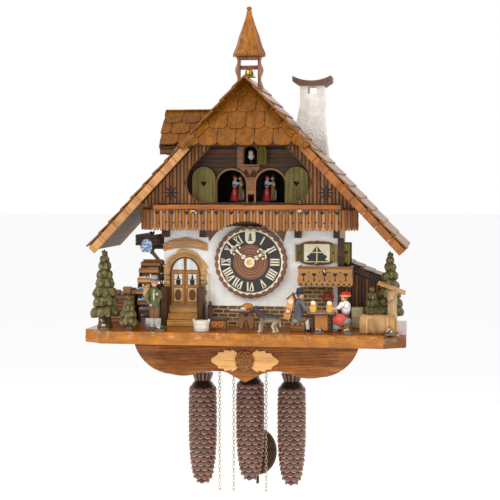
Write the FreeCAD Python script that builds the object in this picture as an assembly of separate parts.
"""Chalet cuckoo clock: a wooden house on a carved deck, with a three-train chain-driven movement inside.

Millimetres. X runs along the front, +Y points at the wall and +Z is up. Sizes below are measured from the
deck's top face and from the wall plane; export() moves everything so that the origin is the hanging hole.
Depths are given as distances in front of the wall, so a face at depth 108 lies at Y = -108.
"""
import FreeCAD, Part
import os
from math import asin, atan2, cos, hypot, pi, radians, sin, sqrt, tan

V = FreeCAD.Vector

# ---- house ----
HANG_HEIGHT = 290.0        # hanging hole above the deck
HANG_RADIUS = 5.0
HOUSE_HALF = 146.0         # half the width over the side walls
HOUSE_DEPTH = 108.0        # wall plane to the face of the front wall
WALL = 8.0
FLOOR = 5.0
SKIN = 5.0                 # gable boards
FIT = 0.4                  # gap between parts that only lie beside each other

# ---- deck and apron ----
DECK_SIDE = 109.0          # deck beyond the side walls
DECK_REACH = 118.0         # deck in front of the front wall
DECK = 20.0
DECK_CORNER = (32.0, 22.0)
APRON_HALF = 180.0
APRON = 10.0
APRON_SETBACK = 47.0       # apron's face behind the deck's front edge
APRON_DROP = 64.0          # centre point below the deck

# ---- roof ----
PITCH = radians(46.7)
ROOF_SIDE = 106.7          # eave beyond the side walls
ROOF_REACH = 82.0          # verge in front of the front wall
EAVE_DROP = 33.5           # eave below the upper floor's underside
ROOF_BOARD = 6.0
VERGE = 12.3               # barge board width across the slope
HIP_DROP = 102.7           # bottom of the front hip below the ridge
HIP_RUN = 41.0
SHINGLE = 3.0
COURSE = 25.5
SHINGLE_WIDTH = 27.0
HIP_COURSE = 31.0
REAR_GAP = 2.0             # roof and deck stop this far short of the wall

# ---- balcony and gable ----
BALCONY_REACH = 57.0
BALCONY_HALF = 152.0
BALCONY_RETURN = 25.0
RAIL = (8.0, 8.0)          # top rail depth and height
RAILING = 2.5
RAILING_DROP = 7.0         # pickets below the floor's underside
RAILING_RISE = 28.0        # pickets above the floor's underside
GABLE_REACH = 37.0
SHUTTER_HALF = 19.0
SHUTTER_X = 76.0
ARCH_HALF = 24.0
ARCH_X = 32.0
STAGE_RISE = 39.0          # sill of the dancers' openings above the upper floor's underside

# ---- dial and hands ----
DIAL_FOOT = 45.0           # lowest point of the dial above the deck
DIAL_RADIUS = 60.0
DIAL_OVERLAP = 2.0         # the dial stands this far above the upper floor's underside
DIAL = 10.0
CHAPTER = 3.0
CHAPTER_RADIUS = DIAL_RADIUS - 6
CHAPTER_HOLE = CHAPTER_RADIUS - 25.5
MINUTE_HAND = CHAPTER_RADIUS - 3
HOUR_HAND = CHAPTER_RADIUS - 13
HAND = 1.0
ARBOR = 2.0
RUNNING = 0.08            # radial gap of a turning shaft

# ---- movement ----
PLATE = 2.0
FRONT_PLATE = HOUSE_DEPTH - 18     # depth of the front plate's face
BACK_PLATE = 48.0
PLATE_BOTTOM = 34.0
CHAIN_Z = 62.0             # axis of the chain wheels
CHAIN_WIRE = 1.7
WEIGHT_LENGTH = 190.0
WEIGHT_RADIUS = 24.0
MIDDLE_X = -7.0            # loaded strand of the going train
TRAINS = {                 # name: x of the loaded strand, x of the free strand, height of the weight's top
    "left": (-88.0, -88.0 + WEIGHT_RADIUS + 5, -84.0),
    "middle": (MIDDLE_X, MIDDLE_X - WEIGHT_RADIUS - 4, -76.0),
    "right": (63.0, MIDDLE_X + WEIGHT_RADIUS + 3, -82.0),
}
FREE_END = -286.0
CHAIN_TRAVEL = 130.0       # the strands reach this far above the chain wheels
PENDULUM_DEPTH = 36.0
PIVOT_RISE = 33.0          # pendulum's pivot above the centre of the dial
PIVOT_PIN = 1.8
BOB_Z = -224.0
BOB_HALF = (33.0, 40.0)
ROD = 2.5
SWING = radians(5)

# ---- automata ----
CAROUSEL_GAP = 5.0         # behind the gable's inner wall
CAROUSEL_RADIUS = 41.0
CAROUSEL_SHAFT = 2.5
COUPLE_X = 27.0            # couples from the middle when they stand in the arches
WHEEL_RADIUS = 50.0
WHEEL_WIDTH = 33.0
WHEEL_GAP = 9.0
WHEEL_Z = 56.0
WHEEL_DEPTH = 80.0
WHEEL_SHAFT = 2.5
DOORWAY_HALF = 11.0
DOORWAY_RISE = 62.0        # sill of the cuckoo's doorway above the dancers' sill
DOORWAY_HEIGHT = 30.0
DOOR_OPEN = radians(133)
BIRD_LIFT = 3.2            # bird's base above the doorway's sill

BASE_HALF = HOUSE_HALF + DECK_SIDE
BASE_FRONT = HOUSE_DEPTH + DECK_REACH
ROOF_HALF = HOUSE_HALF + ROOF_SIDE
ROOF_FRONT = HOUSE_DEPTH + ROOF_REACH
DIAL_Z = DIAL_FOOT + DIAL_RADIUS
FLOOR_Z = DIAL_Z + DIAL_RADIUS - DIAL_OVERLAP     # underside of the upper floor
STAGE_Z = FLOOR_Z + STAGE_RISE
DOORWAY = (STAGE_Z + DOORWAY_RISE, DOORWAY_HEIGHT)
PIVOT_Z = DIAL_Z + PIVOT_RISE
PLATE_TOP = DIAL_Z + 47
EAVE_Z = FLOOR_Z - EAVE_DROP
RIDGE_Z = EAVE_Z + ROOF_HALF * tan(PITCH)
HIP_Z = RIDGE_Z - HIP_DROP
SOFFIT_Z = RIDGE_Z - ROOF_BOARD / cos(PITCH)      # underside of the roof boards at the ridge
BALCONY = HOUSE_DEPTH + BALCONY_REACH
GABLE = HOUSE_DEPTH + GABLE_REACH
FACADE = HOUSE_DEPTH + 4.0                        # face of the siding behind the balcony
CAROUSEL_DEPTH = FACADE - SKIN - CAROUSEL_GAP - CAROUSEL_RADIUS
CHAIN_DEPTH = CAROUSEL_DEPTH + 14                 # the strands pass in front of the carousel's shaft
STOREY = FLOOR_Z + FLOOR
APRON_FACE = BASE_FRONT - APRON_SETBACK
made = {}


# ---- helpers ----
def export(node, *solids):
    """Writes one node, moved so that the origin is the hanging hole on the wall plane."""
    shape = solids[0] if len(solids) == 1 else Part.makeCompound(list(solids))
    shape = shape.copy()
    shape.translate(V(0, 0, -HANG_HEIGHT))
    shape.exportStep("parts/" + node + ".step")
    made[node] = shape


def box(x0, x1, y0, y1, z0, z1):
    return Part.makeBox(x1 - x0, y1 - y0, z1 - z0, V(x0, y0, z0))


def rod(radius, start, end, end_radius=None):
    """A cylinder, or a cone where end_radius is given, between two points."""
    a, b = V(*start), V(*end)
    if end_radius is None or abs(end_radius - radius) < 1e-6:
        return Part.makeCylinder(radius, (b - a).Length, a, b - a)
    return Part.makeCone(radius, end_radius, (b - a).Length, a, b - a)


def ball(radius, centre):
    return Part.makeSphere(radius, V(*centre))


def standing(shape):
    """What of a shape is above the deck."""
    return shape.common(box(-BASE_HALF, BASE_HALF, -BASE_FRONT, 0, 0, RIDGE_Z))


def outline(points):
    """A closed wire: a point given as (x, z) ends a straight run, and (x, z, via_x, via_z) ends an arc."""
    edges = []
    for last, item in zip([points[-1]] + points[:-1], points):
        a, b = V(last[0], 0, last[1]), V(item[0], 0, item[1])
        if len(item) == 4:
            edges.append(Part.Arc(a, V(item[2], 0, item[3]), b).toShape())
        else:
            edges.append(Part.LineSegment(a, b).toShape())
    return Part.Wire(edges)


def board(points, front, back):
    """A board cut to an outline in the XZ plane, between two depths in front of the wall."""
    shape = Part.Face(outline(points)).extrude(V(0, front - back, 0))
    shape.translate(V(0, -front, 0))
    return shape


def slab(points, z0, z1):
    """A plate cut to an outline in the XY plane."""
    wire = Part.makePolygon([V(x, y, z0) for x, y in points + points[:1]])
    return Part.Face(wire).extrude(V(0, 0, z1 - z0))


def side(points, x0, x1):
    """A board cut to an outline of (y, z) points, between two x."""
    wire = Part.makePolygon([V(x0, y, z) for y, z in points + points[:1]])
    return Part.Face(wire).extrude(V(x1 - x0, 0, 0))


def turned(profile, x, y):
    """A solid turned about the vertical line at x, y from (radius, z) points."""
    points = [V(x + r, y, z) for r, z in profile]
    return Part.Face(Part.makePolygon(points + points[:1])).revolve(V(x, y, 0), V(0, 0, 1), 360)


def mirrored(shape):
    return shape.mirror(V(0, 0, 0), V(1, 0, 0))


def both(shape):
    return [shape, mirrored(shape)]


def fused(first, *others):
    for other in others:
        first = first.fuse(other)
    return first.removeSplitter()


def roof_z(x, lift=0.0):
    """Height of the roof's top face at x, raised by a distance across the slope."""
    return RIDGE_Z - abs(x) * tan(PITCH) + lift / cos(PITCH)


def hip_depth(z, inward=0.0):
    """Depth of the hip's face at a height, less a horizontal distance."""
    return ROOF_FRONT - (z - HIP_Z) / HIP_DROP * HIP_RUN - inward


def attic(lift, front, back, low):
    """The triangular prism under the roof, its sides raised across the slope by lift."""
    half = (RIDGE_Z + lift / cos(PITCH) - low) / tan(PITCH)
    return board([(-half, low), (half, low), (0, roof_z(0, lift))], front, back)


def before_hip(inward=0.0):
    """Everything in front of the hip's face."""
    top = RIDGE_Z + 60
    return side([(-hip_depth(HIP_Z, inward), HIP_Z), (-hip_depth(top, inward), top),
                 (-ROOF_FRONT - 60, top), (-ROOF_FRONT - 60, HIP_Z)], -ROOF_HALF, ROOF_HALF)


def shingle_slope(width, course, along, rows, offset, lay):
    """Flat shingles of one slope: lay(s0, s1, t0, t1) makes one from its span down and along the slope."""
    gap = 0.4
    tiles = []
    for row in range(rows):
        start = -0.5 * width if row % 2 else 0.0
        column = 0
        while start + column * width < along:
            t0 = max(start + column * width, 0.0) + gap / 2
            t1 = min(start + (column + 1) * width, along) - gap / 2
            if t1 - t0 > 3:
                tiles.append(lay(offset + row * course + gap, offset + (row + 1) * course, t0, t1))
            column += 1
    return tiles


# ---- deck ----
def base_board():
    half, front = BASE_HALF, BASE_FRONT
    cx, cy = DECK_CORNER
    plan = [(-half + 4, -REAR_GAP), (-half, -front + cy), (-half + cx, -front),
            (half - cx, -front), (half, -front + cy), (half - 4, -REAR_GAP)]
    deck = slab(plan, -DECK, 0)
    swing = (PIVOT_Z + DECK) * tan(SWING) + ROD + 3
    slots = [box(-swing, swing, -PENDULUM_DEPTH - 7, -PENDULUM_DEPTH + 7, -DECK, 0)]
    for loaded, free, _ in TRAINS.values():
        low, high = min(loaded, free) - 6, max(loaded, free) + 6
        slots.append(box(low, high, -CHAIN_DEPTH - 6, -CHAIN_DEPTH + 6, -DECK, 0))
    export("base_board", deck.cut(slots))


def base_apron():
    top, drop = -DECK, -DECK - APRON_DROP
    w = APRON_HALF
    half = [(-w, top - 7), (-w + 60, top - 53, -w + 20, top - 37), (-70, top - 48, -95, top - 55),
            (-28, top - 49, -48, top - 45), (0, drop)]
    right = [(28, top - 49), (70, top - 48, 48, top - 45), (w - 60, top - 53, 95, top - 55),
             (w, top - 7, w - 20, top - 37), (w, top)]
    apron = board([(-w, top)] + half + right, APRON_FACE, APRON_FACE - APRON)
    z = top - 28.0
    leaf = board([(-12, z + 12), (-30, z + 15), (-52, z + 2), (-38, z - 8), (-20, z - 18), (-10, z - 14)],
                 APRON_FACE + 3.0, APRON_FACE)
    heart = rod(16.0, (0, -APRON_FACE, z), (0, -APRON_FACE - 6.0, z), 14.0)
    leaves = [part.cut(heart) for part in both(leaf)]
    export("base_apron", apron, heart, *leaves)


# ---- house ----
def front_wall():
    wall = board([(-HOUSE_HALF, 0), (HOUSE_HALF, 0), (HOUSE_HALF, FLOOR_Z), (-HOUSE_HALF, FLOOR_Z)],
                 HOUSE_DEPTH, HOUSE_DEPTH - WALL)
    wall = wall.cut(rod(6.0, (0, -HOUSE_DEPTH - 1, DIAL_Z), (0, -HOUSE_DEPTH + WALL + 1, DIAL_Z)))
    bricks = 4.0
    plinth = box(-HOUSE_HALF + 74, HOUSE_HALF - 12, -HOUSE_DEPTH - bricks, -HOUSE_DEPTH, 0, 32)
    panel = box(HOUSE_HALF - 66, HOUSE_HALF - 12, -HOUSE_DEPTH - bricks, -HOUSE_DEPTH, 32, 64)
    export("front_wall", wall, plinth, panel)


def side_walls():
    top = SOFFIT_Z - HOUSE_HALF * tan(PITCH) - FIT
    wall = box(HOUSE_HALF - WALL, HOUSE_HALF, -HOUSE_DEPTH + WALL, -WALL, 0, top)
    left = mirrored(wall)
    shaft = rod(WHEEL_SHAFT + RUNNING, (-HOUSE_HALF - 1, -WHEEL_DEPTH, WHEEL_Z),
                (-HOUSE_HALF + WALL + 1, -WHEEL_DEPTH, WHEEL_Z))
    holes = [rod(3.0, (HOUSE_HALF - WALL - 1, -40 - 9 * i, 110 + 9 * j), (HOUSE_HALF + 1, -40 - 9 * i, 110 + 9 * j))
             for i in range(3) for j in range(3)]
    export("side_walls", wall.cut(holes), left.cut(shaft).cut([mirrored(h) for h in holes]))


COVER = (-100.0, 100.0, 20.0, 150.0)   # x and z of the rear cover's opening
LATCH_Z = COVER[3] + 7.0
LATCH = (13.0, 3.5, 2.0)                # half length, half width and thickness of the turn button
LATCH_DEPTH = 1.4
RECESS = 4.2


def back_board():
    top = SOFFIT_Z - FIT / cos(PITCH)
    shoulder = HOUSE_HALF
    eave = top - shoulder * tan(PITCH)
    plate = board([(-shoulder, 0), (shoulder, 0), (shoulder, eave), (0, top), (-shoulder, eave)], WALL, 0)
    x0, x1, z0, z1 = COVER
    opening = box(x0, x1, -WALL - 1, 1, z0, z1)
    hole = rod(HANG_RADIUS, (0, -WALL - 1, HANG_HEIGHT), (0, 1, HANG_HEIGHT))
    recess = rod(LATCH[0] + 1.5, (0, -RECESS, LATCH_Z), (0, 1, LATCH_Z))
    plate = plate.cut([opening, hole, recess])
    socket = rod(1.5 + RUNNING, (0, -RECESS - 3.2, LATCH_Z), (0, 0, LATCH_Z))
    export("back_board", plate.cut(socket))


def rear_cover():
    x0, x1, z0, z1 = COVER
    gap = 1.0
    panel = box(x0 + gap, x1 - gap, -WALL + 0.4, -RECESS, z0 + gap, z1 - gap)
    vents = [rod(4.0, (x, -WALL, (z0 + z1) / 2), (x, 1, (z0 + z1) / 2)) for x in (-60, -30, 30, 60)]
    export("rear_cover", panel.cut(vents))


def cover_latch():
    half, width, thick = LATCH
    back = -LATCH_DEPTH - thick
    button = fused(box(-width, width, back, back + thick, LATCH_Z - half + width, LATCH_Z + half - width),
                   rod(width, (0, back, LATCH_Z - half + width), (0, back + thick, LATCH_Z - half + width)),
                   rod(width, (0, back, LATCH_Z + half - width), (0, back + thick, LATCH_Z + half - width)),
                   rod(1.5, (0, -RECESS - 3, LATCH_Z), (0, back + thick + 0.8, LATCH_Z)))
    export("cover_latch", button)


def timber_frame():
    half, back = BALCONY_HALF, HOUSE_DEPTH - WALL
    wide = half + BALCONY_RETURN
    front = BALCONY - RAILING - FIT
    plan = [(-half + 2, -front), (half - 2, -front), (wide - 2, -front + BALCONY_RETURN + 2), (wide - 2, -back),
            (-wide + 2, -back), (-wide + 2, -front + BALCONY_RETURN + 2)]
    floor = slab(plan, FLOOR_Z, FLOOR_Z + FLOOR)
    notch = rod(DIAL_RADIUS + 6, (0, -BALCONY, DIAL_Z), (0, -HOUSE_DEPTH, DIAL_Z))
    beams = []
    for x in (HOUSE_HALF - 68, HOUSE_HALF - 5):
        beams += both(box(x - 5, x + 5, -HOUSE_DEPTH - 20, -HOUSE_DEPTH, FLOOR_Z - 18, FLOOR_Z))
    post = box(HOUSE_HALF - 4, HOUSE_HALF + 6, -HOUSE_DEPTH - 6, -HOUSE_DEPTH - FIT, 0, FLOOR_Z - 18 - FIT)
    export("timber_frame", floor.cut(notch), *beams, post)


def balcony_railing():
    half, low, high = BALCONY_HALF, FLOOR_Z - RAILING_DROP, FLOOR_Z + RAILING_RISE
    front = board([(-half, low), (half, low), (half, high), (-half, high)], BALCONY, BALCONY - RAILING)
    notch = rod(DIAL_RADIUS + 6, (0, -BALCONY - 1, DIAL_Z), (0, -BALCONY + RAILING + 1, DIAL_Z))
    depth, height = RAIL
    rail = box(-half - 1, half + 1, -BALCONY - depth / 2, -BALCONY + depth / 2, high, high + height)
    r = BALCONY_RETURN
    turn = slab([(half + FIT, -BALCONY), (half + r, -BALCONY + r), (half + r - RAILING, -BALCONY + r + RAILING / 2),
                 (half + FIT, -BALCONY + RAILING * 1.5)], low, high)
    export("balcony_railing", front.cut(notch), rail, *both(turn))


# ---- gable ----
def gable_cladding():
    top = HIP_Z + 30
    half = (SOFFIT_Z - FIT - STOREY) / tan(PITCH)
    half = min(half, BALCONY_HALF + BALCONY_RETURN - 2)
    corner = SOFFIT_Z - FIT - half * tan(PITCH)
    ridge = (SOFFIT_Z - FIT - top) / tan(PITCH)
    shape = board([(-half, STOREY), (half, STOREY), (half, corner), (ridge, top), (-ridge, top),
                   (-half, corner)], GABLE, GABLE - SKIN)
    z = STAGE_Z
    cut = board([(69, z), (101, z + 32, 94, z + 11), (90, z + 61, 98, z + 48), (62, z + 90), (-62, z + 90),
                 (-90, z + 61), (-101, z + 32, -98, z + 48), (-69, z, -94, z + 11)], GABLE + 1, GABLE - SKIN - 1)
    rail_top = STOREY - FLOOR + RAILING_RISE + RAIL[1] + FIT
    corners = box(BALCONY_HALF - FIT, BALCONY_HALF + 40, -GABLE - 1, -GABLE + SKIN + 1, STOREY, rail_top)
    export("gable_cladding", shape.cut([cut, corners, mirrored(corners)]))


def arched(x, half, low, high, front, back):
    """A board with a round arched top."""
    spring = high - half
    return board([(x - half, low), (x + half, low), (x + half, spring), (x - half, spring, x, high)], front, back)


def gable_inner_wall():
    shape = attic(-ROOF_BOARD - FIT, FACADE, FACADE - SKIN, STOREY)
    limit = BALCONY_HALF + BALCONY_RETURN - 4
    shape = shape.common(box(-limit, limit, -GABLE, 0, STOREY, SOFFIT_Z - 12))
    z = STAGE_Z
    cuts = [arched(x, ARCH_HALF, z, z + 53, FACADE + 1, FACADE - SKIN - 1) for x in (-ARCH_X, ARCH_X)]
    cuts.append(box(-ARCH_X, ARCH_X, -FACADE - 1, -FACADE + SKIN + 1, z, z + 12))
    sill, high = DOORWAY
    cuts.append(arched(0, DOORWAY_HALF, sill, sill + high, FACADE + 1, FACADE - SKIN - 1))
    export("gable_inner_wall", shape.cut(cuts))


def heart_hole(x, z, half, front, back):
    """A heart-shaped cutter of half the given width."""
    return board([(x, z - 1.2 * half), (x + half, z + 0.2 * half), (x, z + 0.3 * half, x + 0.5 * half, z + 0.8 * half),
                  (x - half, z + 0.2 * half, x - 0.5 * half, z + 0.8 * half)], front + 1, back - 1)


def heart_shutters():
    front, back = GABLE - 19, GABLE - 23
    shutter = arched(SHUTTER_X, SHUTTER_HALF, STOREY, STAGE_Z + 58, front, back)
    shutter = shutter.cut(heart_hole(SHUTTER_X, STAGE_Z + 31, 4.5, front, back))
    export("heart_shutters", *both(shutter))


def cuckoo_oriel():
    sill, high = DOORWAY
    front, w = FACADE + 7, DOORWAY_HALF
    frame = board([(-w - 11, sill - 6), (-w, sill - 8), (0, sill - 15), (w, sill - 8), (w + 3, sill - 6),
                   (w + 3, sill + high + 4), (-w - 11, sill + high + 4)], front, FACADE)
    frame = frame.cut(arched(0, w, sill, sill + high, front + 1, FACADE - 1))
    export("cuckoo_oriel", frame)


def door_hinge():
    return DOORWAY_HALF + 1.5, FACADE + 8.0     # x and depth of the cuckoo door's hinge line


def cuckoo_door():
    sill, high = DOORWAY
    x, depth = door_hinge()
    width, thick = 2 * DOORWAY_HALF + 1.0, 1.2
    leaf = arched(x - width / 2 - 0.6, width / 2, sill - 0.5, sill + high + 1, depth + thick / 2, depth - thick / 2)
    pin = rod(0.7, (x, -depth, sill + 1), (x, -depth, sill + high - 6))
    door = fused(leaf, pin)
    door.rotate(V(x, -depth, 0), V(0, 0, 1), DOOR_OPEN * 180 / pi)
    export("cuckoo_door", door)


def cuckoo_bird():
    z = DOORWAY[0] + BIRD_LIFT
    y = -FACADE + 1.0
    body = fused(ball(6.2, (0, y, z + 9)), ball(4.6, (0, y - 2.5, z + 17.5)),
                 rod(1.2, (0, y - 6, z + 17), (0, y - 11, z + 16.4), 0.3),
                 rod(3.0, (0, y + 2, z + 9), (0, y + 15, z + 4), 1.6))
    perch = rod(1.1, (0, y, z + 3.4), (0, y, z - 1))
    arm = box(-1.5, 1.5, y - 3, y + 44, z - 2, z - 1)
    export("cuckoo_bird", body, perch.cut(body), arm)


# ---- roof ----
def eave_cut(lift, thick):
    """The two lower corners of a board whose top face is lift above the roof and whose end is square."""
    x, z = ROOF_HALF + lift * sin(PITCH), EAVE_Z + lift * cos(PITCH)
    return (x, z), (x - thick * sin(PITCH), z - thick * cos(PITCH))


def roof_half(lift, thick, front, back):
    """The right-hand slope of a board, from the ridge to a square eave."""
    top, low = eave_cut(lift, thick)
    return board([(0, roof_z(0, lift)), top, low, (0, roof_z(0, lift - thick))], front, back)


def roof_boards():
    half = roof_half(0, ROOF_BOARD, ROOF_FRONT - 6, REAR_GAP)
    export("roof_boards", *both(half.cut(before_hip())))


def barge_boards():
    strip = roof_half(0, VERGE, ROOF_FRONT, ROOF_FRONT - 6)
    above = box(-ROOF_HALF, ROOF_HALF, -ROOF_FRONT - 10, 0, HIP_Z, RIDGE_Z + 20)
    export("barge_boards", *both(strip.cut(above)))


DORMER_HALF = 55.0
DORMER_DEPTH = 60.0
DORMER_RIDGE = 53.0          # dormer's ridge below the main ridge
DORMER_END = 152.0           # dormer's verge from the middle of the clock


def dormer_prism(lift, end, low):
    """The dormer roof's outline, raised across its slope by lift, running from inside the roof out to the left."""
    ridge = RIDGE_Z - DORMER_RIDGE + lift / cos(PITCH)
    half = DORMER_HALF - 3
    foot = ridge - half * tan(PITCH)
    return side([(-DORMER_DEPTH, ridge), (-DORMER_DEPTH - half, foot), (-DORMER_DEPTH - half, low),
                 (-DORMER_DEPTH + half, low), (-DORMER_DEPTH + half, foot)], -end, 0)


def outside_roof(lift):
    """Cuts away whatever lies under the roof's top face raised by lift."""
    return attic(lift, ROOF_FRONT + 60, -60, EAVE_Z - 200)


def dormer():
    foot = RIDGE_Z - DORMER_RIDGE - DORMER_HALF * tan(PITCH)
    under = dormer_prism(-ROOF_BOARD - FIT, DORMER_END - 8, foot - 6)
    walls = under.common(box(-DORMER_END, 0, -DORMER_DEPTH - 42, -DORMER_DEPTH + 42, foot - 40, RIDGE_Z))
    cover = dormer_prism(0, DORMER_END, foot - 20).cut(dormer_prism(-ROOF_BOARD, DORMER_END + 1, foot - 30))
    hidden = outside_roof(SHINGLE + FIT)
    shingles = dormer_prism(SHINGLE + FIT, DORMER_END + 1, foot - 20).cut(dormer_prism(FIT, DORMER_END + 2, foot - 30))
    export("dormer", walls.cut(hidden), cover.cut(hidden), shingles.cut(hidden))


CHIMNEY = (73.0, 113.0, 50.0, 10.0)          # x at the top, front and back depth
CHIMNEY_TOP = 3.0                             # top of the stack below the ridge
CHIMNEY_X = 93.0


def chimney_shape(grow=0.0):
    x0, x1, front, back = CHIMNEY
    top = RIDGE_Z - CHIMNEY_TOP
    foot = roof_z(CHIMNEY_X, -10)
    return board([(x0 - 14 - grow, foot - 40), (x1 + 11 + grow, foot - 40), (x1 + 8 + grow, foot - 25),
                  (x1 + grow, top - 60), (x1 + grow, top), (x0 - grow, top), (x0 - grow, top - 30),
                  (x0 - 11 - grow, foot + 26)], front + grow, back - grow)


def chimney():
    x0, x1, front, back = CHIMNEY
    top = RIDGE_Z - CHIMNEY_TOP
    stack = chimney_shape().cut(outside_roof(SHINGLE + FIT))
    flue = box(x0 + 13, x1 - 12, -front - 1, -back + 1, top - 12, top + 1)
    mid = (x0 + x1) / 2
    cap = board([(mid - 20, top), (mid + 20, top), (mid + 32, top + 8), (mid + 32, top + 17),
                 (mid - 32, top + 17, mid, top + 9), (mid - 32, top + 8)], front + 8, back - 4)
    export("chimney", stack.cut(flue), cap)


def roof_shingles():
    depth = ROOF_FRONT - REAR_GAP
    length = ROOF_HALF / cos(PITCH)
    rows = int(length / COURSE)
    course = length / rows

    def lay(s0, s1, t0, t1):
        tile = box(s0, s1 + (5 if s1 > length - 1 else 0), -ROOF_FRONT + t0, -ROOF_FRONT + t1, FIT, FIT + SHINGLE)
        tile.rotate(V(0, 0, 0), V(0, 1, 0), PITCH * 180 / pi)
        tile.translate(V(0, 0, RIDGE_Z))
        return tile

    right = shingle_slope(SHINGLE_WIDTH, course, depth, rows, 4.0 * 0, lay)
    ridge_gap = box(-1.2 - SHINGLE, 1.2 + SHINGLE, -ROOF_FRONT, 0, RIDGE_Z - 1, RIDGE_Z + 20)
    front = before_hip()
    keep_right, keep_left = [], []
    belfry = fused(*both(belfry_post(0.6)))
    stack = chimney_shape(FIT)
    gable_room = dormer_prism(SHINGLE + 2 * FIT, DORMER_END + 2, 0)
    for tile in right:
        tile = tile.cut(ridge_gap).cut(front)
        if tile.Volume < 30:
            continue
        keep_right.append(tile.cut(belfry).cut(stack))
        keep_left.append(mirrored(tile).cut(belfry).cut(gable_room))
    solids = [s for tile in keep_right + keep_left for s in tile.Solids if s.Volume > 25]
    export("roof_shingles", *solids)


def hip_roof():
    inside = attic(-ROOF_BOARD - FIT, ROOF_FRONT + 1, 0, HIP_Z)
    plate = before_hip(ROOF_BOARD).cut(before_hip()).common(inside)
    slope = atan2(HIP_DROP, HIP_RUN)
    length = hypot(HIP_DROP, HIP_RUN)
    rows = round(length / HIP_COURSE + 0.4)
    course = length / rows
    wide = 2 * HIP_DROP / tan(PITCH) + 4

    def lay(s0, s1, t0, t1):
        tile = box(t0 - wide / 2, t1 - wide / 2, 0, s1 - s0 + (4 if s1 > length - 1 else 0), FIT, FIT + SHINGLE)
        tile.translate(V(0, -s1 - (4 if s1 > length - 1 else 0), 0))
        tile.rotate(V(0, 0, 0), V(1, 0, 0), slope * 180 / pi)
        tile.translate(V(0, -hip_depth(RIDGE_Z), RIDGE_Z))
        return tile

    tiles = shingle_slope(SHINGLE_WIDTH, course, wide, rows, 0.0, lay)
    room = attic(-1.0, ROOF_FRONT + 20, 0, HIP_Z - 8)
    solids = [s for tile in tiles for s in tile.common(room).Solids if s.Volume > 25]
    export("hip_roof", plate, *solids)


# ---- belfry ----
BELFRY_DEPTH = 24.0        # belfry's middle in front of the front wall
BELFRY_X = 18.0
BELFRY_TOP = 38.5          # underside of the spire above the ridge
YOKE_DROP = 20.5           # underside of the yoke below the spire


def belfry_post(grow=0.0):
    y = HOUSE_DEPTH + BELFRY_DEPTH
    top, w = RIDGE_Z + BELFRY_TOP, 4.5 + grow
    x = BELFRY_X
    return board([(x - w, RIDGE_Z - 22), (x + w, RIDGE_Z - 22), (x + w, top - 8, x + w + 2.5, RIDGE_Z + 8),
                  (x + w + 1, top - grow), (x - w, top - grow)], y + 6 + grow, y - 6 - grow)


def belfry_frame():
    y = HOUSE_DEPTH + BELFRY_DEPTH
    top = RIDGE_Z + BELFRY_TOP
    low = top - YOKE_DROP
    posts = [post.cut(outside_roof(SHINGLE + FIT)) for post in both(belfry_post())]
    head = box(-BELFRY_X + 4.5, BELFRY_X - 4.5, -y - 6, -y + 6, top - 5, top)
    beam = box(-BELFRY_X + 4.5, BELFRY_X - 4.5, -y - 2, -y + 2, low, low + 6.5)
    pin = fused(rod(1.0, (0, -y, low), (0, -y, low - 10)), rod(2.2, (0, -y, low - 4), (0, -y, low - 5)),
                ball(1.7, (0, -y, low - 10.5)))
    export("belfry_frame", *posts, head, beam, pin)


def belfry_spire():
    y = -HOUSE_DEPTH - BELFRY_DEPTH
    top = RIDGE_Z + BELFRY_TOP
    half = 26.0
    levels = [(half, top), (half - 1, top + 5), (17.0, top + 22), (11.5, top + 42), (5.0, top + 60), (2.6, top + 72)]
    wires = []
    for r, z in levels:
        wires.append(Part.makePolygon([V(r * cos(a), y + r * sin(a), z) for a in
                                       [pi / 4 * k for k in range(9)]]))
    spire = Part.makeLoft(wires, True, True)
    knob = ball(3.2, (0, y, top + 76.8))
    knob = knob.cut(box(-9, 9, y - 9, y + 9, top + 60, top + 75))
    neck = rod(2.2, (0, y, top + 72), (0, y, top + 75))
    export("belfry_spire", fused(spire, neck, knob))


def bell():
    """Open bell that rests on the head of the pin under the yoke."""
    top = RIDGE_Z + BELFRY_TOP - YOKE_DROP - FIT
    outer = [(1.3, top), (4.2, top - 0.4), (5.6, top - 2), (6.2, top - 5.5), (7.6, top - 8.6), (11.3, top - 11.8)]
    inner = [(10.5, top - 11.8), (6.9, top - 8.2), (5.4, top - 5.2), (4.9, top - 3.5), (1.3, top - 3.5)]
    export("bell", turned(outer + inner, 0, -HOUSE_DEPTH - BELFRY_DEPTH))


# ---- dial and hands ----
def dial():
    face = HOUSE_DEPTH + DIAL
    disc = rod(DIAL_RADIUS, (0, -HOUSE_DEPTH, DIAL_Z), (0, -face, DIAL_Z))
    disc = disc.cut(rod(4.4, (0, -HOUSE_DEPTH + 1, DIAL_Z), (0, -face - 1, DIAL_Z)))
    ring = rod(CHAPTER_RADIUS, (0, -face, DIAL_Z), (0, -face - CHAPTER, DIAL_Z))
    ring = ring.cut(rod(CHAPTER_HOLE, (0, -face + 1, DIAL_Z), (0, -face - CHAPTER - 1, DIAL_Z)))
    export("dial", disc, ring)


def hand(length, width, hub, depth, angle, bore):
    """A pierced hand: a hub ring, a tapered stem and a leaf, turned clockwise from twelve by angle degrees."""
    z, leaf = DIAL_Z, length * 0.62
    shape = fused(
        rod(hub, (0, -depth, z), (0, -depth - HAND, z)),
        board([(-width / 2, z), (width / 2, z), (1.0, z + length), (-1.0, z + length)], depth + HAND, depth),
        board([(-width * 1.6, z + leaf), (0, z + leaf - 5), (width * 1.6, z + leaf), (0, z + leaf + 6)],
              depth + HAND, depth))
    shape = shape.cut(rod(bore, (0, -depth + 1, z), (0, -depth - HAND - 1, z)))
    shape.rotate(V(0, 0, z), V(0, 1, 0), angle)
    return shape


MINUTES = 52.0
HOURS = 1.0 + MINUTES / 60


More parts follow.
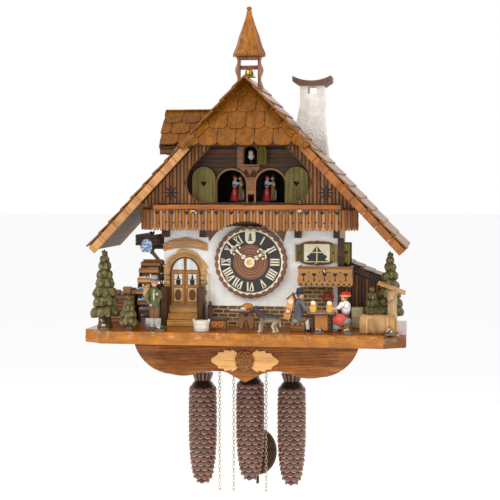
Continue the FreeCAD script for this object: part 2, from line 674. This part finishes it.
def minute_hand():
    depth = HOUSE_DEPTH + DIAL + CHAPTER + 9
    blade = hand(MINUTE_HAND, 4.5, 7.5, depth, MINUTES * 6, ARBOR)
    arbor = rod(ARBOR, (0, -BACK_PLATE + PLATE, DIAL_Z), (0, -depth - 4, DIAL_Z))
    nut = rod(4.5, (0, -depth - HAND, DIAL_Z), (0, -depth - HAND - 1.6, DIAL_Z)).cut(arbor)
    wheel = rod(20.0, (0, -FRONT_PLATE + 8, DIAL_Z), (0, -FRONT_PLATE + 6, DIAL_Z)).cut(arbor)
    export("minute_hand", blade, arbor, nut, wheel)


def hour_hand():
    depth = HOUSE_DEPTH + DIAL + CHAPTER + 5
    pipe = rod(ARBOR + 1.5, (0, -FRONT_PLATE - 1, DIAL_Z), (0, -depth - HAND - 1.5, DIAL_Z))
    blade = hand(HOUR_HAND, 5.5, 7.5, depth, HOURS * 30, ARBOR + 1.5)
    bore = rod(ARBOR + RUNNING, (0, 0, DIAL_Z), (0, -depth - 9, DIAL_Z))
    wheel = rod(15.0, (0, -FRONT_PLATE - 2, DIAL_Z), (0, -FRONT_PLATE - 4, DIAL_Z))
    export("hour_hand", blade, fused(pipe, wheel).cut(bore))


# ---- entrance ----
DOOR_X = -HOUSE_HALF + 36.0
DOOR_HALF = 24.0
DOOR_SILL = 33.0
DOOR_TOP = 111.0


def entrance():
    face, step = HOUSE_DEPTH, 6.0
    frame = board([(DOOR_X - 36, DOOR_SILL - 1), (DOOR_X + 36, DOOR_SILL - 1), (DOOR_X + 36, DOOR_TOP - 10),
                   (DOOR_X + 20, DOOR_TOP + 6), (DOOR_X - 20, DOOR_TOP + 6, DOOR_X, DOOR_TOP + 12),
                   (DOOR_X - 36, DOOR_TOP - 10)], face + step, face)
    frame = frame.cut(arched(DOOR_X, DOOR_HALF, DOOR_SILL, DOOR_TOP, face + step + 1, face - 1))
    leaf = arched(DOOR_X, DOOR_HALF - FIT, DOOR_SILL + FIT, DOOR_TOP - FIT, face + 3, face)
    seam = box(DOOR_X - 0.3, DOOR_X + 0.3, -face - 4, -face + 1, 0, DOOR_TOP + 5)
    leaves = leaf.cut(seam).Solids
    z = DOOR_TOP + 15
    sign = board([(DOOR_X - 36, z - 5), (DOOR_X + 36, z - 5, DOOR_X, z + 5), (DOOR_X + 37, z + 7),
                  (DOOR_X - 37, z + 7, DOOR_X, z + 19)], face + 4, face)
    export("entrance", frame, *leaves, sign.cut(frame))


def door_steps():
    rise, run, count = (DOOR_SILL - 1.5) / 3, 9.0, 3
    face = HOUSE_DEPTH
    solids = []
    for i in range(count):
        reach = (count - i) * run + 6
        solids.append(box(DOOR_X - 25, DOOR_X + 25, -face - reach, -face - FIT, i * rise + 0.1, (i + 1) * rise))
    reach = count * run + 8
    cheek = box(DOOR_X + 25.5, DOOR_X + 35, -face - reach, -face - 7, 0, 64)
    solids += [cheek, box(DOOR_X - 35, DOOR_X - 25.5, -face - reach, -face - 7, 0, 64)]
    export("door_steps", *solids)


# ---- right side ----
WINDOW_X = HOUSE_HALF - 38.0
WINDOW_Z = 120.0


def window():
    x, z, face = WINDOW_X, WINDOW_Z, HOUSE_DEPTH
    frame = box(x - 25, x + 25, -face - 4, -face, z - 19, z + 19).cut(
        box(x - 19, x + 19, -face - 5, -face + 1, z - 13, z + 13))
    pane = box(x - 19, x + 19, -face - 1.5, -face, z - 13, z + 13)
    leaf = box(x - 31, x - 25.4, -face - 6, -face, z - 14, z + 13)
    other = box(x + 19.2, x + 25, -face - 7, -face - 4.2, z - 14, z + 13)
    shelf = box(x - 12, x + 8, -face - 9, -face - 4.2, z - 19, z - 15)
    sx, y = HOUSE_HALF, -HOUSE_DEPTH + 22
    leaf_side = box(sx, sx + 16, y - 3, y, 102, 136)
    export("window", frame, pane, leaf, other, shelf, leaf_side)


MINI_TOP = 100.0


def mini_balcony():
    x0, x1 = HOUSE_HALF - 65, HOUSE_HALF + 20
    front, low = HOUSE_DEPTH + 27, MINI_TOP - 34
    panel = board([(x0, low), (x1, low), (x1, MINI_TOP - 5), (x0, MINI_TOP - 5)], front, front - 2.5)
    rail = box(x0 - 1, x1 + 1, -front - 1.5, -front + 4, MINI_TOP - 5, MINI_TOP)
    end = box(x1 - 2.5, x1, -front + 2.5 + FIT, -HOUSE_DEPTH + 21, low, MINI_TOP - 5)
    near = box(x0, x0 + 2.5, -front + 2.5 + FIT, -HOUSE_DEPTH, low, MINI_TOP - 5)
    floor = box(x0 + 3, HOUSE_HALF - 4.5, -front + 3, -HOUSE_DEPTH, low + 2, low + 5)
    export("mini_balcony", panel, rail, end, near, floor)


ANNEX = (HOUSE_HALF, HOUSE_HALF + 62.0)
ANNEX_DEPTH = HOUSE_DEPTH - 28.0


def annex():
    x0, x1 = ANNEX
    front, back, low = ANNEX_DEPTH, 12.0, 70.0
    fall = (27.0) / (x1 - x0)
    z = MINI_TOP - 2.0
    wall = board([(x0, 0), (x1, 0), (x1, z - fall * (x1 - x0)), (x0, z)], front, front - 4)
    end = board([(x1 - 4, 0), (x1, 0), (x1, z - fall * (x1 - x0)), (x1 - 4, z - fall * (x1 - x0 - 4))],
                front - 4, back)
    over = 6.0
    cover = board([(x0, z + 1), (x1 + over, z + 1 - fall * (x1 + over - x0)),
                   (x1 + over, z + 6 - fall * (x1 + over - x0)), (x0, z + 6)], front + over, back)
    rows, tiles = 3, []
    run = (x1 + over - x0) / rows
    for i in range(rows):
        a, b = x0 + i * run + 0.2, x0 + (i + 1) * run - 0.2
        za, zb = z + 6.4 - fall * (a - x0), z + 6.4 - fall * (b - x0)
        tiles.append(board([(a, za), (b, zb), (b, zb + 3), (a, za + 3)], front + over, back))
    export("annex", wall, end, cover, *tiles)


# ---- water wheel ----
def water_channel():
    x1 = -HOUSE_HALF - WHEEL_GAP + 1
    x0 = x1 - WHEEL_WIDTH - 2
    y0, y1 = -WHEEL_DEPTH - 45, -20.0
    z = FLOOR_Z - 32
    trough = box(x0, x1, y0, y1, z, z + 18).cut(box(x0 + 5, x1 - 5, y0 - 1, y1 + 1, z + 4, z + 19))
    water = box(x0 + 5.2, x1 - 5.2, y0 + 1, y1, z + 4.2, z + 12)
    prop = box(x0, -HOUSE_HALF, -HOUSE_DEPTH + WALL + 2, -HOUSE_DEPTH + WALL + 10, z - 7, z)
    wall_x = x0 - 8
    race = box(wall_x - 46, wall_x, -WHEEL_DEPTH - 26, -30, 0, 47)
    bearing = box(wall_x, wall_x + 5, -WHEEL_DEPTH - 7, -WHEEL_DEPTH + 7, 0, WHEEL_Z + 8)
    hub = rod(WHEEL_SHAFT + RUNNING, (wall_x - 1, -WHEEL_DEPTH, WHEEL_Z), (wall_x + 6, -WHEEL_DEPTH, WHEEL_Z))
    export("water_channel", trough, water, prop, race, bearing.cut(hub))


def water_wheel():
    x1 = -HOUSE_HALF - WHEEL_GAP
    x0 = x1 - WHEEL_WIDTH
    y, z = -WHEEL_DEPTH, WHEEL_Z
    ring = 11.0
    solids = []
    for a in (x0, x1 - 3):
        rim = rod(WHEEL_RADIUS - 4, (a, y, z), (a + 3, y, z)).cut(
            rod(WHEEL_RADIUS - 4 - ring, (a - 1, y, z), (a + 4, y, z)))
        arms = [box(a, a + 3, y - 2.5, y + 2.5, z - WHEEL_RADIUS + 8, z + WHEEL_RADIUS - 8),
                box(a, a + 3, y - WHEEL_RADIUS + 8, y + WHEEL_RADIUS - 8, z - 2.5, z + 2.5)]
        solids.append(fused(rim, *arms))
    paddle_count = 16
    for k in range(paddle_count):
        paddle = box(x0 + 3, x1 - 3, y - 1, y + 1, z + WHEEL_RADIUS - 14, z + WHEEL_RADIUS)
        paddle.rotate(V(0, y, z), V(1, 0, 0), 360.0 / paddle_count * k)
        solids.append(paddle)
    shaft = rod(WHEEL_SHAFT, (x0 - 7, y, z), (-HOUSE_HALF + WALL + 18, y, z))
    hub = rod(7.0, (x0 + 3, y, z), (x1 - 3, y, z)).cut(shaft)
    pinion = rod(7.0, (-HOUSE_HALF + WALL + 8, y, z), (-HOUSE_HALF + WALL + 13, y, z)).cut(shaft)
    solids = [s.cut(shaft) for s in solids]
    export("water_wheel", *solids, hub, shaft, pinion)


# ---- scenery on the deck ----
def fir(x, depth, height, spread, tiers):
    """A carved fir: a trunk and overlapping skirts that narrow towards the tip."""
    y, trunk = -depth, height * 0.2
    parts = [rod(spread * 0.3, (x, y, 0), (x, y, trunk + 4), spread * 0.22)]
    rise = (height - trunk) / tiers
    for k in range(tiers):
        r = spread * (1 - 0.8 * k / tiers)
        parts.append(rod(r, (x, y, trunk + k * rise), (x, y, trunk + k * rise + rise * 1.35), r * 0.25))
    tip = trunk + (tiers - 1) * rise + rise * 1.2
    parts.append(rod(spread * 0.1, (x, y, tip), (x, y, height), 0.4))
    return fused(*parts)


FIRS = (                     # x from the deck's end (negative) or towards it, depth from the front edge, size
    (-BASE_HALF + 24, BASE_FRONT - 56, 124, 26, 6),
    (-BASE_HALF + 71, BASE_FRONT - 24, 55, 16, 4),
    (BASE_HALF - 29, BASE_FRONT - 125, 121, 25, 6),
    (BASE_HALF - 56, BASE_FRONT - 78, 68, 15, 4),
)


def fir_trees():
    export("fir_trees", *[fir(*size) for size in FIRS])


def hiker():
    x, y = -HOUSE_HALF + 0, -BASE_FRONT + 31
    parts = []
    for s in (-1, 1):
        parts.append(rod(4.0, (x + s * 4.5, y, 0), (x + s * 4, y, 36), 5.5))
    parts += [rod(9.5, (x, y, 30), (x, y, 52), 10.5), rod(10.5, (x, y, 52), (x, y, 68), 6.5),
              rod(3.5, (x, y, 66), (x, y, 72)), ball(6.8, (x, y, 76)),
              rod(10, (x, y, 80), (x, y, 82)), rod(7, (x, y, 81.5), (x, y, 90), 4.5),
              ball(9, (x - 9, y + 5, 55)), rod(3.2, (x + 9, y, 64), (x + 11, y - 8, 44)),
              rod(3.2, (x - 9, y, 64), (x - 9, y - 9, 46))]
    export("hiker", standing(fused(*parts)))


def dog():
    x, y = 38.0, -BASE_FRONT + 21
    parts = [rod(5.5, (x - 12, y, 24), (x + 12, y, 19), 6), ball(6.2, (x - 12, y, 24)), ball(7, (x + 12, y, 19)),
             rod(5, (x - 12, y, 26), (x - 17, y, 37), 3.6), ball(5, (x - 17.5, y, 38)),
             rod(3.6, (x - 18, y, 37.5), (x - 26, y, 35), 1.8), rod(2.4, (x + 17, y, 18), (x + 22, y, 7), 1.2)]
    for dx, dy in ((-13, -3), (-9, 3), (13, -3), (17, 3)):
        parts.append(rod(2.8, (x + dx, y + dy, 20), (x + dx, y + dy, 0), 2.0))
    export("dog", standing(fused(*parts)))


TABLE_X = 117.0 - 146.0 + HOUSE_HALF
TABLE_DEPTH = BASE_FRONT - 48
TABLE_TOP = 30.0
MAN_X = TABLE_X - 31
WOMAN_X = TABLE_X + 42
SHOULDER = 47.0


def seat_figure(x, way):
    """A figure on a stool, facing way along X."""
    y = -TABLE_DEPTH
    return fused(rod(8.5, (x, y, 17.2), (x, y, 34), 7.5), rod(7.5, (x, y, 34), (x, y, 48), 5),
                 rod(3, (x, y, 47), (x, y, 52)), ball(5.6, (x + way * 1, y, 55)),
                 rod(4.2, (x, y, 21.4), (x + way * 15, y - 1, 20), 3.6),
                 rod(3.4, (x + way * 15, y - 1, 21), (x + way * 13, y - 1, 0), 2.8))


def seated_man():
    y, x = -TABLE_DEPTH, MAN_X
    hat = fused(rod(8, (x, y, 59), (x, y, 60.5)), rod(5, (x, y, 60), (x, y, 67), 4.5))
    pack = board([(x - 22, 20), (x - 14, 22), (x - 7.5, 56), (x - 11, 62), (x - 17, 55)],
                 TABLE_DEPTH + 7, TABLE_DEPTH - 7)
    stool = box(x - 11, x + 8, y - 9, y + 9, 0, 17)
    figure = standing(fused(seat_figure(x, 1), hat))
    export("seated_man", figure, pack.cut(figure), stool.cut(figure))


def seated_woman():
    y, x = -TABLE_DEPTH, WOMAN_X
    hat = fused(rod(8, (x, y, 59), (x, y, 60.5)), ball(5.5, (x, y, 63)))
    skirt = rod(14, (x - 4, y, 4), (x - 1, y, 24), 9)
    stool = box(x + 2, x + 13, y - 7, y + 7, 0, 3.6)
    figure = standing(fused(seat_figure(x, -1), hat, skirt))
    export("seated_woman", figure, stool.cut(figure))


def beer_arm(x, way):
    """An arm from the shoulder to a mug held above the table."""
    y = -TABLE_DEPTH - 9.6
    hand_x = x + way * 17
    arm = fused(rod(2.6, (x + way * 1, y, SHOULDER), (x + way * 8, y - 1, SHOULDER - 9), 2.2),
                rod(2.2, (x + way * 8, y - 1, SHOULDER - 9), (hand_x, y, SHOULDER - 8), 1.8),
                ball(2.6, (x + way * 1, y, SHOULDER)))
    mug = rod(4.2, (hand_x + way * 5, y, TABLE_TOP + 1.2), (hand_x + way * 5, y, TABLE_TOP + 13.5))
    foam = ball(4.6, (hand_x + way * 5, y, TABLE_TOP + 15))
    return fused(arm, mug, foam)


def man_arm():
    export("man_arm", beer_arm(MAN_X, 1))


def woman_arm():
    export("woman_arm", beer_arm(WOMAN_X, -1))


LOW_TABLE_X = -5.0
LOW_TABLE_DEPTH = BASE_FRONT - 61


def furniture():
    """The beer table, the low table and the bench, as separate solids."""
    solids = []
    tx, ty = TABLE_X + 5, -TABLE_DEPTH
    solids.append(box(tx - 21, tx + 21, ty - 15, ty + 15, TABLE_TOP - 3.5, TABLE_TOP))
    solids.append(box(tx - 10, tx + 10, ty - 9, ty + 9, 0, TABLE_TOP - 3.5))
    lx, ly = LOW_TABLE_X, -LOW_TABLE_DEPTH
    solids.append(box(lx - 20, lx + 19, ly - 13, ly + 13, 27, 31))
    solids.append(box(lx - 14, lx + 14, ly - 11, ly + 9, 0, 27))
    bx = lx - 35
    solids.append(box(bx - 13, bx + 13, ly - 8, ly + 8, 17, 20))
    for s in (-9, 9):
        solids.append(box(bx + s - 2, bx + s + 2, ly - 7, ly + 7, 0, 17))
    return solids


TROUGH_X = 212.0 - 255.0 + BASE_HALF


def fountain():
    x, y = TROUGH_X, -BASE_FRONT + 38
    trough = box(x - 30, x + 26, y - 14, y + 12, 0, 28).cut(box(x - 25, x + 12, y - 10, y + 8, 22, 29))
    post = rod(7.5, (x + 20, y + 19.9, 0), (x + 20, y + 19.9, 66), 6.5)
    roof = board([(x + 0, 76), (x + 38, 62), (x + 39, 66), (x + 1, 80)], -y + 2, -y - 34)
    post = post.cut(board([(x - 20, 83.3), (x + 60, 54), (x + 60, 120), (x - 20, 120)], -y + 10, -y - 50))
    spout = rod(1.6, (x + 12.9, y + 12.6, 44), (x + 6, y + 4, 42))
    export("fountain", trough, post, roof, spout.cut(post))


def yard_items():
    tub_x, tub_y = -66.0, -BASE_FRONT + 25
    tub = rod(11, (tub_x, tub_y, 0), (tub_x, tub_y, 17), 12.3).cut(rod(10, (tub_x, tub_y, 9), (tub_x, tub_y, 18)))
    bx, by = DOOR_X + 43.5, -HOUSE_DEPTH - DIAL - 4
    broom = fused(rod(7, (bx, by, 0), (bx, by, 46), 5), rod(1.8, (bx, by, 44), (bx + 2, by + 2, 86), 1.0))
    bread = ball(7.5, (LOW_TABLE_X + 5, -LOW_TABLE_DEPTH, 33.2)).cut(
        box(-40, 40, -BASE_FRONT, 0, 20, 31))
    block = box(HOUSE_HALF + 19, HOUSE_HALF + 38, -HOUSE_DEPTH - 22, -HOUSE_DEPTH - 4, 0, 34)
    sausages = [rod(2, (WINDOW_X + 14 + 5 * k, -HOUSE_DEPTH - 8, 57), (WINDOW_X + 14 + 5 * k, -HOUSE_DEPTH - 8, 41))
                for k in range(3)]
    plants = [ball(6, (x, -BASE_FRONT + d, 0)).cut(box(x - 9, x + 9, -BASE_FRONT + d - 9, -BASE_FRONT + d + 9, -9, 0))
              for x, d in ((TABLE_X + 3, 24), (TABLE_X + 48, 22), (BASE_HALF - 25, 14), (-HOUSE_HALF + 15, 16),
                           (-BASE_HALF + 32, 24))]
    export("yard_items", *furniture(), tub, broom, bread, block, *sausages, *plants)


# ---- movement ----
def movement_frame():
    loaded = [t[0] for t in TRAINS.values()]
    x0, x1 = min(loaded) - 14, max(loaded) + 14
    holes = [rod(2.0 + RUNNING, ((t[0] + t[1]) / 2, -FRONT_PLATE - 1, CHAIN_Z),
                 ((t[0] + t[1]) / 2, -BACK_PLATE + PLATE + 1, CHAIN_Z)) for t in TRAINS.values()]
    holes.append(rod(ARBOR + 1.5 + RUNNING, (0, -FRONT_PLATE - 1, DIAL_Z), (0, -FRONT_PLATE + PLATE + 1, DIAL_Z)))
    holes.append(rod(ARBOR + RUNNING, (0, -BACK_PLATE - 1, DIAL_Z), (0, -BACK_PLATE + PLATE + 1, DIAL_Z)))
    plates = [box(x0, x1, -depth, -depth + PLATE, PLATE_BOTTOM, PLATE_TOP).cut(holes)
              for depth in (FRONT_PLATE, BACK_PLATE)]
    pillars = [rod(3.0, (x, -FRONT_PLATE + PLATE, z), (x, -BACK_PLATE, z))
               for x in (x0 + 5, x1 - 5) for z in (PLATE_BOTTOM + 6, PLATE_TOP - 6)]
    feet = [box(x - 5, x + 5, -FRONT_PLATE, -BACK_PLATE + PLATE, 0, PLATE_BOTTOM) for x in (x0 + 5, x1 - 5)]
    pivot = rod(PIVOT_PIN, (0, -BACK_PLATE + PLATE, PIVOT_Z), (0, -PENDULUM_DEPTH + 5, PIVOT_Z))
    y = -CAROUSEL_DEPTH
    bridge = box(1.5, 9.5, -FRONT_PLATE, -BACK_PLATE + PLATE, PLATE_TOP, PLATE_TOP + 3)
    sleeve = rod(CAROUSEL_SHAFT + 2.2, (0, y, PLATE_TOP), (0, y, STAGE_Z - 28))
    bearing = fused(bridge, sleeve).cut(rod(CAROUSEL_SHAFT + RUNNING, (0, y, 0), (0, y, STAGE_Z)))
    export("movement_frame", *plates, *pillars, *feet, pivot, bearing)


def chain_wheel(name):
    loaded, free, _ = TRAINS[name]
    x = (loaded + free) / 2
    groove = abs(loaded - free) / 2 - CHAIN_WIRE - FIT
    arbor = rod(2.0, (x, -FRONT_PLATE + 0.2, CHAIN_Z), (x, -BACK_PLATE + PLATE - 0.2, CHAIN_Z))
    sprocket = rod(groove, (x, -CHAIN_DEPTH - 3.5, CHAIN_Z), (x, -CHAIN_DEPTH + 3.5, CHAIN_Z)).cut(arbor)
    great = rod(21.0, (x, -CHAIN_DEPTH + 6, CHAIN_Z), (x, -CHAIN_DEPTH + 8, CHAIN_Z))
    teeth = 24
    notches = [box(x - 1.0, x + 1.0, -CHAIN_DEPTH + 5, -CHAIN_DEPTH + 9, CHAIN_Z + 19, CHAIN_Z + 22) for _ in range(teeth)]
    for k, notch in enumerate(notches):
        notch.rotate(V(x, 0, CHAIN_Z), V(0, 1, 0), 360.0 / teeth * k)
    export("chain_wheel_" + name, sprocket, great.cut(notches).cut(arbor), arbor)


def weight(name):
    loaded, _, top = TRAINS[name]
    x, y, r = loaded, -CHAIN_DEPTH, WEIGHT_RADIUS
    low = top - WEIGHT_LENGTH
    profile = [(0, low), (4, low), (r * 0.55, low + 12), (r * 0.78, low + 40), (r * 0.96, low + 90),
               (r, low + 135), (r * 0.97, low + 160), (r * 0.7, low + 172), (r * 0.5, low + 178),
               (r * 0.64, top), (0, top)]
    cone = turned(profile, x, y)
    ring = Part.makeTorus(3.6, 0.9, V(x, y, top + 3.6), V(0, 1, 0))
    body = fused(cone, ring)
    strand = rod(CHAIN_WIRE, (x, y, top + 7), (x, y, CHAIN_Z + CHAIN_TRAVEL))
    export("weight_" + name, body, strand.cut(body))


def free_chain(name):
    _, free, _ = TRAINS[name]
    y = -CHAIN_DEPTH
    strand = rod(CHAIN_WIRE, (free, y, FREE_END + 7.6), (free, y, CHAIN_Z))
    ring = Part.makeTorus(3.4, 0.7, V(free, y, FREE_END + 4), V(1, 0, 0))
    export("free_chain_" + name, strand, ring.cut(strand))


def pendulum():
    """Bob, rod, crutch and anchor, hung on the pin of the movement."""
    y = -PENDULUM_DEPTH
    hub = rod(5.0, (0, -BACK_PLATE + PLATE + 1, PIVOT_Z), (0, y + 4, PIVOT_Z))
    bore = rod(PIVOT_PIN + RUNNING, (0, -BACK_PLATE, PIVOT_Z), (0, y + 6, PIVOT_Z))
    stem = rod(ROD, (0, y, BOB_Z - 56), (0, y, PIVOT_Z)).cut(hub)
    anchor = board([(-14, PIVOT_Z - 12), (-11, PIVOT_Z - 12), (0, PIVOT_Z - 4), (11, PIVOT_Z - 12),
                    (14, PIVOT_Z - 12), (0, PIVOT_Z + 6)], BACK_PLATE - PLATE - 1, BACK_PLATE - PLATE - 3)
    bob = Part.makeCylinder(1.0, 5.0, V(0, 0, -2.5), V(0, 0, 1))
    plane = FreeCAD.Matrix()
    plane.scale(BOB_HALF[0], BOB_HALF[1], 1.0)
    bob = bob.transformGeometry(plane)
    bob.rotate(V(0, 0, 0), V(1, 0, 0), 90)
    bob.translate(V(0, y - 1.5, BOB_Z))
    export("pendulum", bob, stem.cut(bob), hub.cut(bore), anchor.cut(hub))


# ---- sound and music ----
BELLOWS_X = HOUSE_HALF - WALL - 17.0
BELLOWS_TOP = 118.0
DRUM = (76.0, 112.0, 62.0, 190.0)     # x of both ends, depth and height of the music drum


GONG = (-40.0, 16.0, 168.0, 20.0)     # x, depth, height and radius of the gong's coil
HAMMER_GAP = 1.0


def sound_works():
    """The two bird pipes, the wire gong and the bedplate and comb of the music box."""
    solids = []
    for x in (-BELLOWS_X, BELLOWS_X):
        pipe = box(x - 11, x + 11, -46, -16, 0, BELLOWS_TOP - 0.5)
        solids.append(pipe.cut(box(x - 8, x + 8, -47, -43, BELLOWS_TOP - 34, BELLOWS_TOP - 24)))
    x, depth, z, radius = GONG
    gong = Part.makeTorus(radius, 1.2, V(x, -depth, z), V(0, 1, 0))
    post = box(x - 4, x + 4, -depth - 4, -WALL, z + radius - 2, z + radius + 6)
    x0, x1, y, high = DRUM
    bed = box(x0 - 8, x1 + 8, -y - 16, -y + 26, high - 18, high - 15)
    cheeks = [box(cx, cx + 3, -y - 5, -y + 5, high - 15, high + 4).cut(
        rod(1.8 + RUNNING, (cx - 1, -y, high), (cx + 4, -y, high))) for cx in (x0 - 5, x1 + 4)]
    comb = box(x0, x1, -y + 10.5, -y + 24, high - 1, high)
    riser = box(x0 + 2, x1 - 2, -y + 18, -y + 24, high - 15, high - 1)
    hanger = box(x1 + 5, HOUSE_HALF - WALL, -y + 14, -y + 24, high - 21, high - 18)
    export("sound_works", *solids, gong, post.cut(gong), bed, *cheeks, comb, riser, hanger)


def gong_hammer():
    x, depth, z, radius = GONG
    head_x = x + radius + 1.2 + 3.2 + HAMMER_GAP
    head = ball(3.2, (head_x, -depth, z))
    arm = rod(0.9, (head_x, -depth, z - 30), (head_x, -depth, z))
    eye = rod(2.4, (head_x, -depth - 2, z - 30), (head_x, -depth + 2, z - 30))
    export("gong_hammer", fused(head, arm, eye))


def bellows_lid(name, sign):
    """A lid with the folded leather under it, as it lies when the bellows is shut."""
    x = sign * BELLOWS_X
    plate = box(x - 11, x + 11, -46, -16, BELLOWS_TOP + 2, BELLOWS_TOP + 5)
    fold = box(x - 10, x + 10, -45, -16.5, BELLOWS_TOP, BELLOWS_TOP + 2)
    export("bellows_lid_" + name, plate, fold)


def music_drum():
    x0, x1, y, z = DRUM
    arbor = rod(1.8, (x0 - 6, -y, z), (x1 + 8, -y, z))
    drum = rod(9.5, (x0, -y, z), (x1, -y, z)).cut(arbor)
    wheel = rod(13.0, (x1 + 0.8, -y, z), (x1 + 2.8, -y, z)).cut(arbor)
    export("music_drum", drum, wheel, arbor)


def couple(x, y, turn):
    """Two dancers holding each other, turned about the vertical."""
    z = STAGE_Z + 1
    lady = fused(rod(6.4, (-4, 0, z), (-4, 0, z + 24), 2.6), rod(3.6, (-4, 0, z + 22), (-4, 0, z + 36), 2.6),
                 ball(3.6, (-4, 0, z + 39)))
    man = fused(rod(4.2, (5.4, 0, z), (5.4, 0, z + 24), 4), rod(4.2, (5.4, 0, z + 22), (5.4, 0, z + 36), 2.6),
                ball(3.6, (5.4, 0, z + 40)), rod(1.4, (-4, -3, z + 31), (5.4, -3, z + 31)))
    pair = fused(lady, man)
    pair.rotate(V(0, 0, 0), V(0, 0, 1), turn)
    pair.translate(V(x, y, 0))
    return pair


def carousel():
    y0, z = -CAROUSEL_DEPTH, STAGE_Z
    shaft = rod(CAROUSEL_SHAFT, (0, y0, PLATE_TOP + 4), (0, y0, z - 3))
    disc = rod(CAROUSEL_RADIUS, (0, y0, z - 3), (0, y0, z + 1))
    orbit = CAROUSEL_RADIUS - 6.5
    angle = asin(COUPLE_X / orbit)
    pairs = [couple(orbit * sin(a), y0 - orbit * cos(a), a * 180 / pi)
             for a in (-angle, angle, pi - angle, pi + angle)]
    gear = rod(12.0, (0, y0, z - 26), (0, y0, z - 23)).cut(shaft)
    export("carousel", disc, shaft, gear, *pairs)


def main():
    os.makedirs("parts", exist_ok=True)
    for build in (base_board, base_apron, front_wall, side_walls, back_board, rear_cover, cover_latch, timber_frame,
                  balcony_railing, gable_cladding, gable_inner_wall, heart_shutters, cuckoo_oriel, cuckoo_door,
                  cuckoo_bird, roof_boards, barge_boards, dormer, chimney, roof_shingles, hip_roof, belfry_frame,
                  belfry_spire, bell, dial, minute_hand, hour_hand, entrance, door_steps,
                  window, mini_balcony, annex, water_channel, water_wheel, fir_trees, hiker, dog, seated_man,
                  seated_woman, man_arm, woman_arm, fountain, yard_items, movement_frame,
                  pendulum, sound_works, gong_hammer, music_drum, carousel):
        build()
    for name in TRAINS:
        chain_wheel(name)
        weight(name)
        free_chain(name)
    for name, sign in (("left", -1), ("right", 1)):
        bellows_lid(name, sign)
    for node, shape in made.items():
        sound = all(s.isValid() and s.Volume > 0 for s in shape.Solids)
        if not sound or not shape.Solids:
            print("CHECK", node, len(shape.Solids), [round(s.Volume, 1) for s in shape.Solids][:6])
    print(len(made), "nodes,", sum(len(s.Solids) for s in made.values()), "solids")


main()
